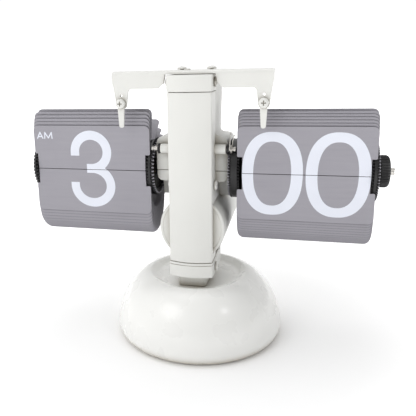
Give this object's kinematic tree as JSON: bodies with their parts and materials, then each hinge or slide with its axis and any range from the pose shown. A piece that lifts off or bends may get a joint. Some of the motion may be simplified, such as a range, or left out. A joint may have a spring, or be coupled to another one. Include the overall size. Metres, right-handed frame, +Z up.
{
  "type": "flip number clock",
  "caption": "Table clock with two drums of hinged number leaves on a shaft through a white column, holding fingers on a cross beam, a ribbed setting knob and a domed base.",
  "frame": {"origin": "centre of the round pad under the base, on the table", "axes": "+X along the drum shafts towards the setting knob, -Y towards the reader, +Z up"},
  "size_m": [0.2095, 0.1068, 0.162],
  "materials": {
    "white_gloss": "glossy white moulding",
    "white_satin": "satin white moulding with a faint grain",
    "white_metal": "satin white paint on metal",
    "leaf_grey": "matt grey leaf",
    "numeral_white": "white printed numeral",
    "black_plastic": "black moulding",
    "steel": "turned or drawn steel",
    "cast_weight": "rough casting",
    "brass": "turned brass",
    "gear_white": "natural acetal",
    "board_green": "solder mask",
    "cell_jacket": "printed cell jacket, no lettering",
    "pad_rubber": "foam rubber"
  },
  "bodies": {
    "root": {"base_shell": "white_gloss", "neck_post": "white_satin", "column_front_shell": "white_satin", "column_top_cap": "white_satin", "column_bottom_cap": "white_satin", "column_rear_shell": "white_satin", "movement_housing": "white_satin", "battery_barrel": "white_satin", "beam_bracket": "white_metal", "finger_left": "white_metal", "finger_right": "white_metal", "finger_screw_left": "white_metal", "finger_screw_right": "white_metal", "beam_screw_left": "white_metal", "beam_screw_right": "white_metal", "cross_tube": "white_metal", "side_screw_top_left": "white_metal", "side_screw_middle_left": "white_metal", "side_screw_bottom_left": "white_metal", "side_screw_top_right": "white_metal", "side_screw_middle_right": "white_metal", "side_screw_bottom_right": "white_metal", "minute_leaf_lower": "leaf_grey", "minute_leaves_waiting": "leaf_grey", "minute_leaves_fallen": "leaf_grey", "hour_leaf_lower": "leaf_grey", "hour_leaves_waiting": "leaf_grey", "hour_leaves_fallen": "leaf_grey", "cross_washer_left": "black_plastic", "cross_washer_right": "black_plastic", "base_bottom_plate": "black_plastic", "cross_rod": "steel", "base_bolt": "steel", "drive_motor": "steel", "base_weight": "cast_weight", "shaft_bush_left": "brass", "shaft_bush_right": "brass", "contact_plate": "brass", "circuit_board": "board_green", "battery_cell": "cell_jacket", "base_pad": "pad_rubber"},
    "minute_drum": {"minute_shaft": "steel", "minute_hub": "black_plastic", "minute_wheel_inner": "black_plastic", "minute_wheel_outer": "black_plastic", "setting_knob": "black_plastic", "minute_gear": "gear_white"},
    "hour_drum": {"hour_shaft": "steel", "hour_hub": "black_plastic", "hour_wheel_inner": "black_plastic", "hour_wheel_outer": "black_plastic", "hour_gear": "gear_white"},
    "idler": {"idler_gear": "gear_white"},
    "motor_output": {"motor_pinion": "brass"},
    "minute_flip_leaf": {"minute_leaf_upper": "leaf_grey"},
    "hour_flip_leaf": {"hour_leaf_upper": "leaf_grey"},
    "battery_door": {"battery_cap": "white_satin", "contact_spring": "steel"}
  },
  "joints": [
    {"name": "minute_spin", "type": "hinge", "parent": "root", "child": "minute_drum", "pos_m": [0, 0, 0.1031], "axis": [1, 0, 0], "continuous": true},
    {"name": "hour_spin", "type": "hinge", "parent": "root", "child": "hour_drum", "pos_m": [0, 0, 0.1031], "axis": [1, 0, 0], "continuous": true},
    {"name": "idler_spin", "type": "hinge", "parent": "root", "child": "idler", "pos_m": [0, 0, 0.1147], "axis": [1, 0, 0], "continuous": true},
    {"name": "motor_spin", "type": "hinge", "parent": "root", "child": "motor_output", "pos_m": [0, 0.012, 0.1031], "axis": [1, 0, 0], "continuous": true},
    {"name": "minute_leaf_flip", "type": "hinge", "parent": "root", "child": "minute_flip_leaf", "pos_m": [0.0616, -0.016, 0.1031], "axis": [1, 0, 0], "range_deg": [0, 178]},
    {"name": "hour_leaf_flip", "type": "hinge", "parent": "root", "child": "hour_flip_leaf", "pos_m": [-0.0616, -0.016, 0.1031], "axis": [1, 0, 0], "range_deg": [0, 178]},
    {"name": "battery_cap_pull", "type": "slide", "parent": "root", "child": "battery_door", "axis": [0, 1, 0], "range_m": [0, 0.025]}
  ],
  "couplings": [
    {"joint": "hour_spin", "follows": "minute_spin", "ratio": 0.041667},
    {"joint": "idler_spin", "follows": "minute_spin", "ratio": -0.2},
    {"joint": "motor_spin", "follows": "minute_spin", "ratio": -4}
  ]
}
